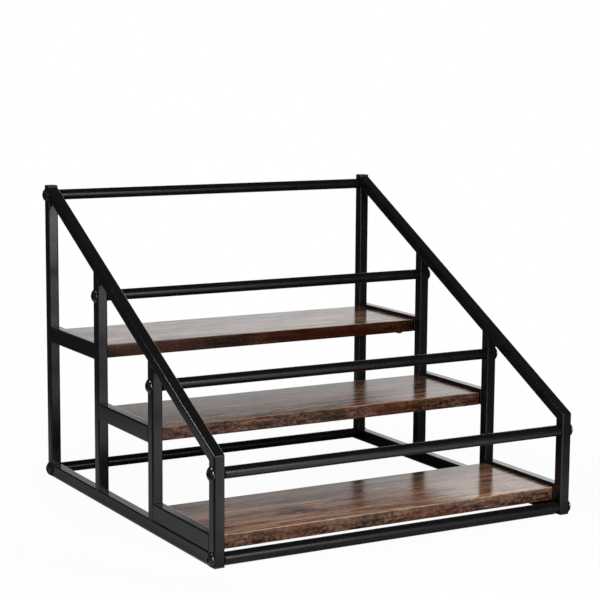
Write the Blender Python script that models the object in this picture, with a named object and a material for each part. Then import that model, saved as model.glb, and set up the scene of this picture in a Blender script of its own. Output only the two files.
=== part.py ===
"""Stepped rack for syrup bottles: three tiers of boards between two steel side frames.

Each side frame is nine pieces of square tube welded in one plane. A sloped rail runs down
from the rear post to a mitred, rounded corner on the short front post, two uprights divide
the depth into three equal tiers, and a taller rail carries the board of each tier. Six round
bars keep the frames apart, each with a dome-head bolt from outside at both ends.

Metres, +Z up, +Y to the tall rear, +X to the right of someone facing the rack. The origin is
the middle of the footprint, on the surface that the rack stands on.
"""

import math
from dataclasses import dataclass

import bmesh
import bpy
from mathutils import Matrix, Vector

# Driving dimensions
RACK_WIDTH = 0.360
RACK_DEPTH = 0.360
RACK_HEIGHT = 0.2844
FRONT_HEIGHT = 0.0933  # top of the corner between sloped rail and front post
UPPER_SHELF_HEIGHT = 0.148  # top of the rails beside the upper board
MIDDLE_SHELF_HEIGHT = 0.0935

# Clearances, shared by every joint
JOINT_GAP = 0.0003  # between pieces that touch, are welded or are clamped
HOLE_CLEARANCE = 0.0003  # all round a fastener in its hole
OVERRUN = 0.002  # how far a cutter runs past the wall that it cuts
MERGE_DISTANCE = 0.000002  # corners of one mesh this close are the same corner
SMOOTH_ANGLE = math.radians(30)  # sharper edges of round pieces stay crisp

# Square tube of the side frames
TUBE = 0.010
TUBE_WALL = 0.0012
TUBE_CORNER = 0.0010
TUBE_INNER_CORNER = 0.0004
CORNER_STEPS = 2
MITRE_ROUND = 0.0018  # outer radius of the corner between sloped rail and front post
MITRE_STEPS = 6
SLOPE_DROP = 0.0020  # sloped rail below the top of the rack, where it meets the rear post

# Rails that carry the boards
SHELF_RAIL_HEIGHT = 0.015

# Steel tabs that the boards are screwed to, welded to the rails
TAB_REACH = 0.012
TAB_LENGTH = 0.014
TAB_THICKNESS = 0.0015
TAB_ROOT = 0.0035  # width of the welded land under a shelf rail
TAB_SINK_SHARE = 0.5  # how far the weld reaches into the wall of a rail
TAB_INSET = 0.018  # from a board's front or back edge to the middle of a tab

# Round bars
BAR_DIAMETER = 0.010
BAR_CHAMFER = 0.0006
BAR_BORE_DEPTH = 0.018
BAR_SIDES = 24
GUARD_DROP = 0.0160  # middle of a guard bar below the sloped rail over it
TOP_BAR_DROP = 0.0094  # middle of the top bar below the top of the rack

# Dome-head bolts
BOLT_DIAMETER = 0.006
BOLT_GRIP = 0.014  # length of shank inside a bar
BOLT_HEAD_DIAMETER = 0.0124
BOLT_HEAD_HEIGHT = 0.0036
BOLT_HEAD_RIM = 0.0007
BOLT_SOCKET = 0.004
BOLT_SOCKET_DEPTH = 0.0018
BOLT_TIP_CHAMFER = 0.0008
BOLT_SIDES = 24
BOLT_HOLE_SIDES = 16
DOME_STEPS = 4
SOCKET_SIDES = 6

# Boards
BOARD_THICKNESS = 0.012
BOARD_SIDE_GAP = 0.0004
BOARD_FRONT_INSET = 0.0008  # behind the rear face of the upright in front of it
BOARD_BACK_INSET = 0.0003  # before the front face of the upright behind it
BOARD_CHAMFER = 0.0006

# Wood screws under the boards
SCREW_DIAMETER = 0.0035
SCREW_LENGTH = 0.011
SCREW_POINT = 0.0025
SCREW_HEAD_DIAMETER = 0.0068
SCREW_HEAD_HEIGHT = 0.0022
SCREW_HEAD_RIM = 0.0008
SCREW_HEAD_CROWN_SHARE = 0.55
SCREW_SIDES = 12

# Plastic caps on the rear posts and feet under all four
CAP_THICKNESS = 0.0027
CAP_ROUND = 0.0007
CAP_SPIGOT = 0.0022
FOOT_THICKNESS = 0.0012
FOOT_ROUND = 0.0004
FOOT_SPIGOT = 0.0011

# Places that follow from the sizes above; the side frames lie in planes at x = +-FRAME_X
FRAME_X = RACK_WIDTH / 2 - TUBE / 2
INNER_X = RACK_WIDTH / 2 - TUBE
SCREW_X = INNER_X - TAB_REACH / 2
FRONT_Y = -RACK_DEPTH / 2
REAR_Y = RACK_DEPTH / 2
TIER_DEPTH = (RACK_DEPTH - 4 * TUBE) / 3
MIDDLE_UPRIGHT_Y = FRONT_Y + TUBE + TIER_DEPTH  # front faces of the uprights
UPPER_UPRIGHT_Y = MIDDLE_UPRIGHT_Y + TUBE + TIER_DEPTH
REAR_POST_Y = REAR_Y - TUBE
POST_TOP = RACK_HEIGHT - CAP_THICKNESS - JOINT_GAP
BOTTOM_RAIL_TOP = FOOT_THICKNESS + JOINT_GAP + TUBE
LOWER_SHELF_HEIGHT = BOTTOM_RAIL_TOP + JOINT_GAP + SHELF_RAIL_HEIGHT
BOTTOM_BAR_HEIGHT = FOOT_THICKNESS + JOINT_GAP + BAR_DIAMETER / 2
TOP_BAR_HEIGHT = RACK_HEIGHT - TOP_BAR_DROP
SLOPE_END_HEIGHT = RACK_HEIGHT - SLOPE_DROP
SLOPE = math.atan2(SLOPE_END_HEIGHT - FRONT_HEIGHT, REAR_POST_Y - FRONT_Y)

TAB_SINK = TAB_SINK_SHARE * TUBE_WALL

ACROSS = Vector((1, 0, 0))
BACK = Vector((0, 1, 0))
UP = Vector((0, 0, 1))
UPHILL = Vector((0, math.cos(SLOPE), math.sin(SLOPE)))
OFF_SLOPE = Vector((0, -math.sin(SLOPE), math.cos(SLOPE)))  # square to the slope, outwards
TOP_CORNER = Vector((0, FRONT_Y, FRONT_HEIGHT))


def slope_underside(y):
    """Height of the sloped rail's underside at y."""
    top = FRONT_HEIGHT + (y - FRONT_Y) * math.tan(SLOPE)
    return top - TUBE / math.cos(SLOPE)


@dataclass(frozen=True)
class Tier:
    """One board's place: y where the tier starts, and the height of its shelf rails' tops."""

    name: str
    front: float
    shelf_top: float

    @property
    def rail_bottom(self):
        """Underside of the shelf rails, which is the board's underside too."""
        return self.shelf_top - SHELF_RAIL_HEIGHT

    @property
    def on_bottom_rail(self):
        return self.front < MIDDLE_UPRIGHT_Y

    @property
    def tab_top(self):
        """Top of the tabs. The lowest are welded beside the bottom rail, just under its top."""
        return (BOTTOM_RAIL_TOP if self.on_bottom_rail else self.rail_bottom) - JOINT_GAP

    @property
    def tab_places(self):
        """Middles, along y, of the front and the rear tabs."""
        front = self.front + BOARD_FRONT_INSET + TAB_INSET
        return front, self.front + TIER_DEPTH - BOARD_BACK_INSET - TAB_INSET


TIERS = (
    Tier("upper", UPPER_UPRIGHT_Y + TUBE, UPPER_SHELF_HEIGHT),
    Tier("middle", MIDDLE_UPRIGHT_Y + TUBE, MIDDLE_SHELF_HEIGHT),
    Tier("lower", FRONT_Y + TUBE, LOWER_SHELF_HEIGHT),
)


# Scene and materials
def clear_scene():
    for old in list(bpy.data.objects):
        bpy.data.objects.remove(old, do_unlink=True)


def finish(name, colour, roughness, metallic):
    made = bpy.data.materials.new(name)
    made.use_nodes = True
    made.diffuse_color = (*colour, 1)
    shader = made.node_tree.nodes["Principled BSDF"]
    shader.inputs["Base Color"].default_value = (*colour, 1)
    shader.inputs["Roughness"].default_value = roughness
    shader.inputs["Metallic"].default_value = metallic
    return made


def new_object(name, mesh, dress, parent=None):
    made = bpy.data.objects.new(name, mesh)
    bpy.context.scene.collection.objects.link(made)
    if dress and not mesh.materials:
        mesh.materials.append(dress)
    made.parent = parent
    return made


def new_empty(name, location):
    made = bpy.data.objects.new(name, None)
    made.location = location
    bpy.context.scene.collection.objects.link(made)
    return made


def helper(made):
    """Mark an object as a tool for cutting or joining, not a piece."""
    made.hide_render = True
    made.display_type = "WIRE"
    return made


def combine(target, tool, operation):
    """Add a live Boolean that cuts the tool out of the target, or joins it on."""
    change = target.modifiers.new(tool.name, "BOOLEAN")
    change.operation = operation
    change.solver = "EXACT"
    change.object = helper(tool)


def mesh_from(name, build):
    """Mesh made closed and facing out from what build(bm) adds to it."""
    bm = bmesh.new()
    build(bm)
    bmesh.ops.recalc_face_normals(bm, faces=bm.faces)
    mesh = bpy.data.meshes.new(name)
    bm.to_mesh(mesh)
    bm.free()
    return mesh


# Shapes
def rounded_outline(width, height, radius, steps):
    """Points of a rectangle about (0, 0) with an arc of the given steps at each corner."""
    points = []
    for quarter in range(4):
        middle_angle = math.pi / 4 + quarter * math.pi / 2
        side = math.copysign(1, math.cos(middle_angle))
        level = math.copysign(1, math.sin(middle_angle))
        middle = Vector((side * (width / 2 - radius), level * (height / 2 - radius)))
        for step in range(steps + 1):
            angle = (quarter + step / steps) * math.pi / 2
            points.append(middle + radius * Vector((math.cos(angle), math.sin(angle))))
    return points


def join_rings(bm, rings, closed=False):
    """Quads between neighbouring rings of corners, and from the last to the first if closed."""
    pairs = list(zip(rings, rings[1:]))
    if closed:
        pairs.append((rings[-1], rings[0]))
    for lower, upper in pairs:
        for i in range(len(lower)):
            j = (i + 1) % len(lower)
            bm.faces.new((lower[i], lower[j], upper[j], upper[i]))


def stack(bm, outlines):
    """Closed solid through a list of (outline, height) levels with the same number of points."""
    rings = [[bm.verts.new((*point, height)) for point in outline] for outline, height in outlines]
    join_rings(bm, rings)
    bm.faces.new(rings[0])
    bm.faces.new(rings[-1])


def on_plane(start, direction, plane_point, plane_normal):
    """Where the line from start along direction meets a plane."""
    reach = (plane_point - start).dot(plane_normal) / direction.dot(plane_normal)
    return start + reach * direction


def tube_mesh(name, axis_point, direction, height, first_cut, last_cut):
    """Open-ended rectangular tube, TUBE wide across x, cut at each end by (point, normal)."""
    upright = ACROSS.cross(direction)
    outer = rounded_outline(TUBE, height, TUBE_CORNER, CORNER_STEPS)
    bore = (TUBE - 2 * TUBE_WALL, height - 2 * TUBE_WALL)
    inner = rounded_outline(*bore, TUBE_INNER_CORNER, CORNER_STEPS)

    def ring(bm, outline, cut):
        starts = [axis_point + u * ACROSS + v * upright for u, v in outline]
        return [bm.verts.new(on_plane(start, direction, *cut)) for start in starts]

    def build(bm):
        rings = [
            ring(bm, outer, first_cut),
            ring(bm, outer, last_cut),
            ring(bm, inner, last_cut),
            ring(bm, inner, first_cut),
        ]
        join_rings(bm, rings, closed=True)

    return mesh_from(name, build)


def turned_mesh(name, profile, sides):
    """Solid of revolution about x from (x, radius) points that start and end on the axis."""
    def build(bm):
        corners = [bm.verts.new((x, radius, 0)) for x, radius in profile]
        edges = [bm.edges.new(pair) for pair in zip(corners, corners[1:])]
        bmesh.ops.spin(
            bm,
            geom=corners + edges,
            cent=(0, 0, 0),
            axis=ACROSS,
            angle=math.tau,
            steps=sides,
            use_merge=True,
        )
        bmesh.ops.remove_doubles(bm, verts=bm.verts, dist=MERGE_DISTANCE)

    mesh = mesh_from(name, build)
    mesh.shade_smooth()
    mesh.set_sharp_from_angle(angle=SMOOTH_ANGLE)
    return mesh


def bore_tool(name, diameter, start, end, sides, parent=None):
    """Round or many-sided cutter from start to end."""
    run = end - start
    turn = UP.rotation_difference(run.normalized()).to_matrix().to_4x4()

    def build(bm):
        bmesh.ops.create_cone(
            bm,
            cap_ends=True,
            segments=sides,
            radius1=diameter / 2,
            radius2=diameter / 2,
            depth=run.length,
            matrix=Matrix.Translation((start + end) / 2) @ turn,
        )

    return helper(new_object(name, mesh_from(name, build), None, parent))


def baked(made):
    """The object's mesh with its modifiers applied."""
    evaluated = made.evaluated_get(bpy.context.evaluated_depsgraph_get())
    return bpy.data.meshes.new_from_object(evaluated)


# Side frames
def square_cut(y):
    return Vector((0, y, 0)), BACK


def level_cut(z):
    return Vector((0, 0, z)), UP


def mitre_cut(offset):
    """Plane that halves the corner of front post and sloped rail, moved along its normal."""
    normal = (UP + UPHILL).normalized()
    return TOP_CORNER + offset * normal, normal


def post_top_cut():
    """Plane a joint gap under the sloped rail, for the tops of the uprights."""
    return TOP_CORNER - (TUBE + JOINT_GAP) * OFF_SLOPE, OFF_SLOPE


def corner_tool(name, parent):
    """What the rounding takes off the corner: its outline ends in an arc of MITRE_ROUND."""
    turn = math.pi / 2 - SLOPE
    middle = TOP_CORNER + MITRE_ROUND * (BACK - math.tan(turn / 2) * UP)
    arc = []
    for step in range(MITRE_STEPS + 1):
        angle = math.pi - turn * step / MITRE_STEPS
        arc.append(middle + MITRE_ROUND * Vector((0, math.cos(angle), math.sin(angle))))
    outline = [arc[0] - OVERRUN * BACK, TOP_CORNER + OVERRUN * (OFF_SLOPE - BACK)]
    outline += [arc[-1] + OVERRUN * OFF_SLOPE] + arc[::-1]
    reach = (TUBE / 2 + OVERRUN) * ACROSS

    def build(bm):
        ends = [[bm.verts.new(point + side * reach) for point in outline] for side in (-1, 1)]
        join_rings(bm, ends)
        for end in ends:
            bm.faces.new(end)

    return helper(new_object(name, mesh_from(name, build), None, parent))


def bolt_holes(tube, y, heights):
    """Clearance holes across a tube for its bolts."""
    reach = (TUBE / 2 + OVERRUN) * ACROSS
    diameter = BOLT_DIAMETER + 2 * HOLE_CLEARANCE
    for number, z in enumerate(heights, start=1):
        middle = Vector((0, y, z))
        name = f"{tube.name}_hole_{number}"
        hole = bore_tool(name, diameter, middle - reach, middle + reach, BOLT_HOLE_SIDES, tube.parent)
        combine(tube, hole, "DIFFERENCE")


def tab_plate(name, outline, y, parent):
    """Prism of TAB_LENGTH, centred at y, on an outline of (x, z) points."""
    def build(bm):
        ends = []
        for side in (-1, 1):
            at = y + side * TAB_LENGTH / 2
            ends.append([bm.verts.new((x, at, z)) for x, z in outline])
        join_rings(bm, ends)
        for end in ends:
            bm.faces.new(end)

    return helper(new_object(name, mesh_from(name, build), None, parent))


def tab_outline(tier, inward):
    """Outline of a tab, in (x, z), with what welds it to its rail.

    A shelf rail's tab has a land that rises into the rail's wall from below. The lowest tier's
    tab runs into the side wall of the bottom rail.
    """
    face = inward * TUBE / 2
    tip = face + inward * TAB_REACH
    bottom = tier.tab_top - TAB_THICKNESS
    if tier.on_bottom_rail:
        root = face - inward * TAB_SINK
        return [(tip, bottom), (tip, tier.tab_top), (root, tier.tab_top), (root, bottom)]
    land = tier.rail_bottom + TAB_SINK
    land_start = face - inward * TUBE_CORNER
    root = land_start - inward * TAB_ROOT
    upper_edge = [(tip, tier.tab_top), (land_start, tier.tab_top), (land_start, land), (root, land)]
    return [(tip, bottom), *upper_edge, (root, bottom)]


def weld_tabs(rail, tier, inward):
    """Join two tabs to a rail and drill each for its screw."""
    outline = tab_outline(tier, inward)
    screw_x = inward * (FRAME_X - SCREW_X)
    diameter = SCREW_DIAMETER + 2 * HOLE_CLEARANCE
    for place, y in zip(("front", "rear"), tier.tab_places):
        name = f"{rail.name}_{place}_tab"
        combine(rail, tab_plate(name, outline, y, rail.parent), "UNION")
        start = Vector((screw_x, y, tier.tab_top - TAB_THICKNESS - OVERRUN))
        end = Vector((screw_x, y, tier.tab_top + OVERRUN))
        hole = bore_tool(f"{name}_hole", diameter, start, end, SCREW_SIDES, rail.parent)
        combine(rail, hole, "DIFFERENCE")


def posts(side_name, plane, steel):
    """Rear post, front post and the two uprights of a side frame."""
    foot_cut = level_cut(FOOT_THICKNESS + JOINT_GAP)
    rail_cut = level_cut(BOTTOM_RAIL_TOP + JOINT_GAP)
    half_gap = JOINT_GAP / 2
    upright_top = post_top_cut()
    plans = {
        "rear_post": (REAR_POST_Y, foot_cut, level_cut(POST_TOP)),
        "front_post": (FRONT_Y, foot_cut, mitre_cut(-half_gap)),
        "upper_upright": (UPPER_UPRIGHT_Y, rail_cut, upright_top),
        "middle_upright": (MIDDLE_UPRIGHT_Y, rail_cut, upright_top),
    }
    heights = bolt_heights()
    made = {}
    for piece, (front, first_cut, last_cut) in plans.items():
        axis = Vector((0, front + TUBE / 2, 0))
        name = f"{side_name}_{piece}"
        mesh = tube_mesh(name, axis, UP, TUBE, first_cut, last_cut)
        made[piece] = new_object(name, mesh, steel, plane)
        bolt_holes(made[piece], axis.y, heights[piece])
    return made


def bolt_heights():
    """Heights of the bolts through each post and upright."""
    return {
        "rear_post": (BOTTOM_BAR_HEIGHT, TOP_BAR_HEIGHT),
        "front_post": (BOTTOM_BAR_HEIGHT, FRONT_HEIGHT - GUARD_DROP),
        "upper_upright": (slope_underside(UPPER_UPRIGHT_Y) - GUARD_DROP,),
        "middle_upright": (slope_underside(MIDDLE_UPRIGHT_Y) - GUARD_DROP,),
    }


def sloped_rail(side_name, plane, steel, front_post):
    """Rail cut upright at the rear post and mitred onto the front post, rounded over both."""
    name = f"{side_name}_sloped_rail"
    axis = TOP_CORNER - TUBE / 2 * OFF_SLOPE
    rear_cut = square_cut(REAR_POST_Y - JOINT_GAP)
    mesh = tube_mesh(name, axis, UPHILL, TUBE, mitre_cut(JOINT_GAP / 2), rear_cut)
    rail = new_object(name, mesh, steel, plane)
    tool = corner_tool(f"{side_name}_corner_tool", plane)
    combine(rail, tool, "DIFFERENCE")
    combine(front_post, tool, "DIFFERENCE")


def level_rails(side_name, plane, steel, inward):
    """Bottom rail and the three shelf rails, with the tabs that carry the boards."""
    name = f"{side_name}_bottom_rail"
    axis = Vector((0, 0, BOTTOM_RAIL_TOP - TUBE / 2))
    cuts = square_cut(FRONT_Y + TUBE + JOINT_GAP), square_cut(REAR_POST_Y - JOINT_GAP)
    bottom_rail = new_object(name, tube_mesh(name, axis, BACK, TUBE, *cuts), steel, plane)
    for tier in TIERS:
        name = f"{side_name}_{tier.name}_shelf_rail"
        axis = Vector((0, 0, tier.shelf_top - SHELF_RAIL_HEIGHT / 2))
        cuts = square_cut(tier.front + JOINT_GAP), square_cut(tier.front + TIER_DEPTH - JOINT_GAP)
        mesh = tube_mesh(name, axis, BACK, SHELF_RAIL_HEIGHT, *cuts)
        rail = new_object(name, mesh, steel, plane)
        weld_tabs(bottom_rail if tier.on_bottom_rail else rail, tier, inward)


def side_frame(side_name, side, steel):
    plane = new_empty(f"{side_name}_frame", (side * FRAME_X, 0, 0))
    uprights = posts(side_name, plane, steel)
    sloped_rail(side_name, plane, steel, uprights["front_post"])
    level_rails(side_name, plane, steel, -side)


# Bars and bolts
def bar_places():
    """Each bar's middle, as its (y, z)."""
    heights = bolt_heights()
    rear = REAR_POST_Y + TUBE / 2
    front = FRONT_Y + TUBE / 2
    return {
        "top_rear_bar": (rear, TOP_BAR_HEIGHT),
        "rear_bottom_bar": (rear, BOTTOM_BAR_HEIGHT),
        "front_bottom_bar": (front, BOTTOM_BAR_HEIGHT),
        "upper_guard_bar": (UPPER_UPRIGHT_Y + TUBE / 2, heights["upper_upright"][0]),
        "middle_guard_bar": (MIDDLE_UPRIGHT_Y + TUBE / 2, heights["middle_upright"][0]),
        "lower_guard_bar": (front, FRONT_HEIGHT - GUARD_DROP),
    }


def bar_mesh():
    """Round bar along x with chamfered ends and a blind bore for a bolt in each."""
    end = INNER_X - JOINT_GAP
    bore = BOLT_DIAMETER / 2 + HOLE_CLEARANCE
    bottom = end - BAR_BORE_DEPTH
    radius = BAR_DIAMETER / 2
    bored_end = [(bottom, 0), (bottom, bore), (end, bore)]
    half = bored_end + [(end, radius - BAR_CHAMFER), (end - BAR_CHAMFER, radius)]
    other_half = [(-x, r) for x, r in reversed(half)]
    return turned_mesh("round_bar", half + other_half, BAR_SIDES)


def bolt_mesh(dress):
    """Dome-head bolt along x, its head's underside at x = 0 and its shank towards -x."""
    rim = BOLT_HEAD_DIAMETER / 2
    rise = BOLT_HEAD_HEIGHT - BOLT_HEAD_RIM
    dome_radius = (rim * rim + rise * rise) / (2 * rise)
    dome_middle = BOLT_HEAD_HEIGHT - dome_radius
    edge_angle = math.asin(rim / dome_radius)
    dome = []
    for step in range(DOME_STEPS + 1):
        angle = edge_angle * step / DOME_STEPS
        dome.append((dome_middle + dome_radius * math.cos(angle), dome_radius * math.sin(angle)))
    shank = BOLT_DIAMETER / 2
    tip = -(2 * JOINT_GAP + TUBE + BOLT_GRIP)
    profile = dome + [
        (0, rim),
        (0, shank),
        (tip + BOLT_TIP_CHAMFER, shank),
        (tip, shank - BOLT_TIP_CHAMFER),
        (tip, 0),
    ]
    blank = new_object("bolt_blank", turned_mesh("bolt_blank", profile, BOLT_SIDES), dress)
    start = Vector((BOLT_HEAD_HEIGHT - BOLT_SOCKET_DEPTH, 0, 0))
    end = Vector((BOLT_HEAD_HEIGHT + OVERRUN, 0, 0))
    corner_to_corner = BOLT_SOCKET / math.cos(math.pi / SOCKET_SIDES)
    socket = bore_tool("bolt_socket", corner_to_corner, start, end, SOCKET_SIDES)
    combine(blank, socket, "DIFFERENCE")
    mesh = baked(helper(blank))
    mesh.name = "dome_head_bolt"
    return mesh


def bars_and_bolts(bar_steel, bolt_steel):
    shared_bar = bar_mesh()
    shared_bolt = bolt_mesh(bolt_steel)
    for name, (y, z) in bar_places().items():
        bar = new_object(name, shared_bar, bar_steel)
        bar.location = (0, y, z)
        for side_name, side in (("left", -1), ("right", 1)):
            bolt = new_object(f"{side_name}_{name}_bolt", shared_bolt, bolt_steel)
            bolt.location = (side * (RACK_WIDTH / 2 + JOINT_GAP), y, z)
            bolt.rotation_euler.z = 0 if side > 0 else math.pi


# Boards and their screws
def board_mesh(depth):
    """Board about (0, 0) on z = 0 with eased edges all round."""
    width = 2 * (INNER_X - BOARD_SIDE_GAP)
    eased_size = width - 2 * BOARD_CHAMFER, depth - 2 * BOARD_CHAMFER
    full = rounded_outline(width, depth, BOARD_CHAMFER, CORNER_STEPS)
    eased = rounded_outline(*eased_size, BOARD_CHAMFER, CORNER_STEPS)
    upper_edge = BOARD_THICKNESS - BOARD_CHAMFER
    levels = [(eased, 0), (full, BOARD_CHAMFER), (full, upper_edge), (eased, BOARD_THICKNESS)]
    return mesh_from("board", lambda bm: stack(bm, levels))


def screw_mesh():
    """Pan-head wood screw along x: head from x = 0 towards -x, point at +x."""
    head = SCREW_HEAD_DIAMETER / 2
    shank = SCREW_DIAMETER / 2
    crown = SCREW_HEAD_CROWN_SHARE * head
    tip = TAB_THICKNESS + SCREW_LENGTH
    profile = [
        (-SCREW_HEAD_HEIGHT, 0),
        (-SCREW_HEAD_HEIGHT, crown),
        (-SCREW_HEAD_RIM, head),
        (0, head),
        (0, shank),
        (tip - SCREW_POINT, shank),
        (tip, 0),
    ]
    return turned_mesh("wood_screw", profile, SCREW_SIDES)


def boards_and_screws(wood, zinc):
    """Three boards, each held by four screws through the tabs of both side frames."""
    depth = TIER_DEPTH - BOARD_FRONT_INSET - BOARD_BACK_INSET
    shared_board = board_mesh(depth)
    shared_screw = screw_mesh()
    for tier in TIERS:
        board = new_object(f"{tier.name}_board", shared_board, wood)
        board.location = (0, tier.front + BOARD_FRONT_INSET + depth / 2, tier.rail_bottom)
        for side_name, side in (("left", -1), ("right", 1)):
            for place, y in zip(("front", "rear"), tier.tab_places):
                name = f"{tier.name}_board_{side_name}_{place}_screw"
                screw = new_object(name, shared_screw, zinc)
                screw.location = (side * SCREW_X, y, tier.tab_top - TAB_THICKNESS - JOINT_GAP)
                screw.rotation_euler.y = -math.pi / 2
                bore_for_screw(board, screw)


def bore_for_screw(board, screw):
    """Blind pilot hole in a board's underside."""
    diameter = SCREW_DIAMETER + 2 * HOLE_CLEARANCE
    end = screw.location + (TAB_THICKNESS + SCREW_LENGTH + HOLE_CLEARANCE) * UP
    start = Vector((end.x, end.y, board.location.z - OVERRUN))
    pilot = bore_tool(f"{screw.name}_pilot", diameter, start, end, SCREW_SIDES)
    combine(board, pilot, "DIFFERENCE")


# Caps and feet
def plug_mesh(name, thickness, edge_round, spigot):
    """Square plug: a flange up from z = 0 with a rounded top edge, a spigot down into the tube."""
    bore = TUBE - 2 * TUBE_WALL - 2 * JOINT_GAP
    neck = rounded_outline(bore, bore, TUBE_INNER_CORNER, CORNER_STEPS)
    flange = rounded_outline(TUBE, TUBE, TUBE_CORNER, CORNER_STEPS)
    levels = [(neck, -spigot), (neck, 0), (flange, 0)]
    for step in range(CORNER_STEPS + 1):
        angle = step / CORNER_STEPS * math.pi / 2
        size = TUBE - 2 * edge_round * (1 - math.cos(angle))
        level = thickness - edge_round * (1 - math.sin(angle))
        levels.append((rounded_outline(size, size, TUBE_CORNER, CORNER_STEPS), level))
    return mesh_from(name, lambda bm: stack(bm, levels))


def caps_and_feet(plastic):
    """A cap on each rear post and a foot under each of the four posts."""
    cap = plug_mesh("post_cap", CAP_THICKNESS, CAP_ROUND, CAP_SPIGOT + JOINT_GAP)
    foot = plug_mesh("post_foot", FOOT_THICKNESS, FOOT_ROUND, FOOT_SPIGOT + JOINT_GAP)
    rear = REAR_POST_Y + TUBE / 2
    front = FRONT_Y + TUBE / 2
    for side_name, side in (("left", -1), ("right", 1)):
        top_cap = new_object(f"{side_name}_rear_post_cap", cap, plastic)
        top_cap.location = (side * FRAME_X, rear, RACK_HEIGHT - CAP_THICKNESS)
        for place, y in (("rear", rear), ("front", front)):
            turned = new_object(f"{side_name}_{place}_foot", foot, plastic)
            turned.location = (side * FRAME_X, y, FOOT_THICKNESS)
            turned.rotation_euler.x = math.pi


def main():
    clear_scene()
    frame_steel = finish("black_powder_coat", (0.018, 0.018, 0.019), 0.42, 0.0)
    bar_steel = finish("satin_black_bar", (0.016, 0.016, 0.017), 0.34, 0.0)
    bolt_steel = finish("black_bolt_steel", (0.02, 0.02, 0.022), 0.3, 0.6)
    zinc = finish("zinc_screw", (0.5, 0.5, 0.48), 0.35, 1.0)
    wood = finish("rustic_brown_wood", (0.16, 0.085, 0.05), 0.45, 0.0)
    plastic = finish("black_plastic", (0.02, 0.02, 0.02), 0.5, 0.0)
    side_frame("left", -1, frame_steel)
    side_frame("right", 1, frame_steel)
    bars_and_bolts(bar_steel, bolt_steel)
    boards_and_screws(wood, zinc)
    caps_and_feet(plastic)


main()
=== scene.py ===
"""Looks of the stepped bottle rack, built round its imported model.

The side frames are square tube with visible weld beads, the bars are satin black, the boards
are rustic brown, and everything keeps the place that the model gives it.
"""

import logging
import math
from dataclasses import dataclass, field
from enum import Enum
from functools import partial, reduce
from typing import NamedTuple

import bmesh
import bpy
import numpy as np
from mathutils import Matrix, Vector


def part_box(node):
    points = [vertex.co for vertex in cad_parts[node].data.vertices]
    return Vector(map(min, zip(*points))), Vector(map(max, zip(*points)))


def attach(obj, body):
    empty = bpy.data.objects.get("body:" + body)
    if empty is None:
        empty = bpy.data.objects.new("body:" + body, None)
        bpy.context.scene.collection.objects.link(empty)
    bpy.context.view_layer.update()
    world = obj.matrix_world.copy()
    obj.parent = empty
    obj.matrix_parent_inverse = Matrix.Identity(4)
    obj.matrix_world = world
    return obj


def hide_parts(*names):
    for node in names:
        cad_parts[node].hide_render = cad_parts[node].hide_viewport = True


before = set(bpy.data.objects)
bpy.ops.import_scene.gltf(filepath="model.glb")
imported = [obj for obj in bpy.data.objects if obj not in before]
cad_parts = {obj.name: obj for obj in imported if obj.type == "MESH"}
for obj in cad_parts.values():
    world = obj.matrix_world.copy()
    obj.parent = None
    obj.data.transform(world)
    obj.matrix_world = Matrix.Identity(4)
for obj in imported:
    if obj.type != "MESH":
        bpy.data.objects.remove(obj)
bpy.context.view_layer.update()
LOG = logging.getLogger("bottle_rack")

ACROSS = np.array([1.0, 0.0, 0.0])
BACK = np.array([0.0, 1.0, 0.0])
UP = np.array([0.0, 0.0, 1.0])
WHITE = (1.0, 1.0, 1.0)
BARS = ("top_rear", "rear_bottom", "front_bottom", "upper_guard", "middle_guard", "lower_guard")
# The Mix node has a set of sockets for each kind of value; these are the colour ones.
MIX_COLOUR_INPUTS = (0, 6, 7)
MIX_COLOUR_OUTPUT = 2


class Side(Enum):
    """Which side frame a piece belongs to, with the sign of its x."""

    LEFT = -1
    RIGHT = 1

    @property
    def word(self) -> str:
        """The side as it stands in piece names."""
        return self.name.lower()


class End(Enum):
    """How a row of rings is closed at one end."""

    FLAT = "flat"
    POINT = "point"


def span(node: str) -> tuple[np.ndarray, np.ndarray]:
    """Lowest and highest corner of a node of the model.

    Args:
        node: The node's name.

    Returns:
        The two corners, in metres.
    """
    low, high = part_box(node)
    return np.array(low), np.array(high)


def hand_over(piece: bpy.types.Object, node: str | None = None) -> bpy.types.Object:
    """Tell the frame where a finished piece belongs.

    Args:
        piece: The piece.
        node: The node of the model that it stands for, or None for an addition.

    Returns:
        The same piece.
    """
    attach(piece, "root")
    if node is not None:
        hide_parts(node)
    LOG.info("built %s", piece.name)
    return piece


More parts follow.
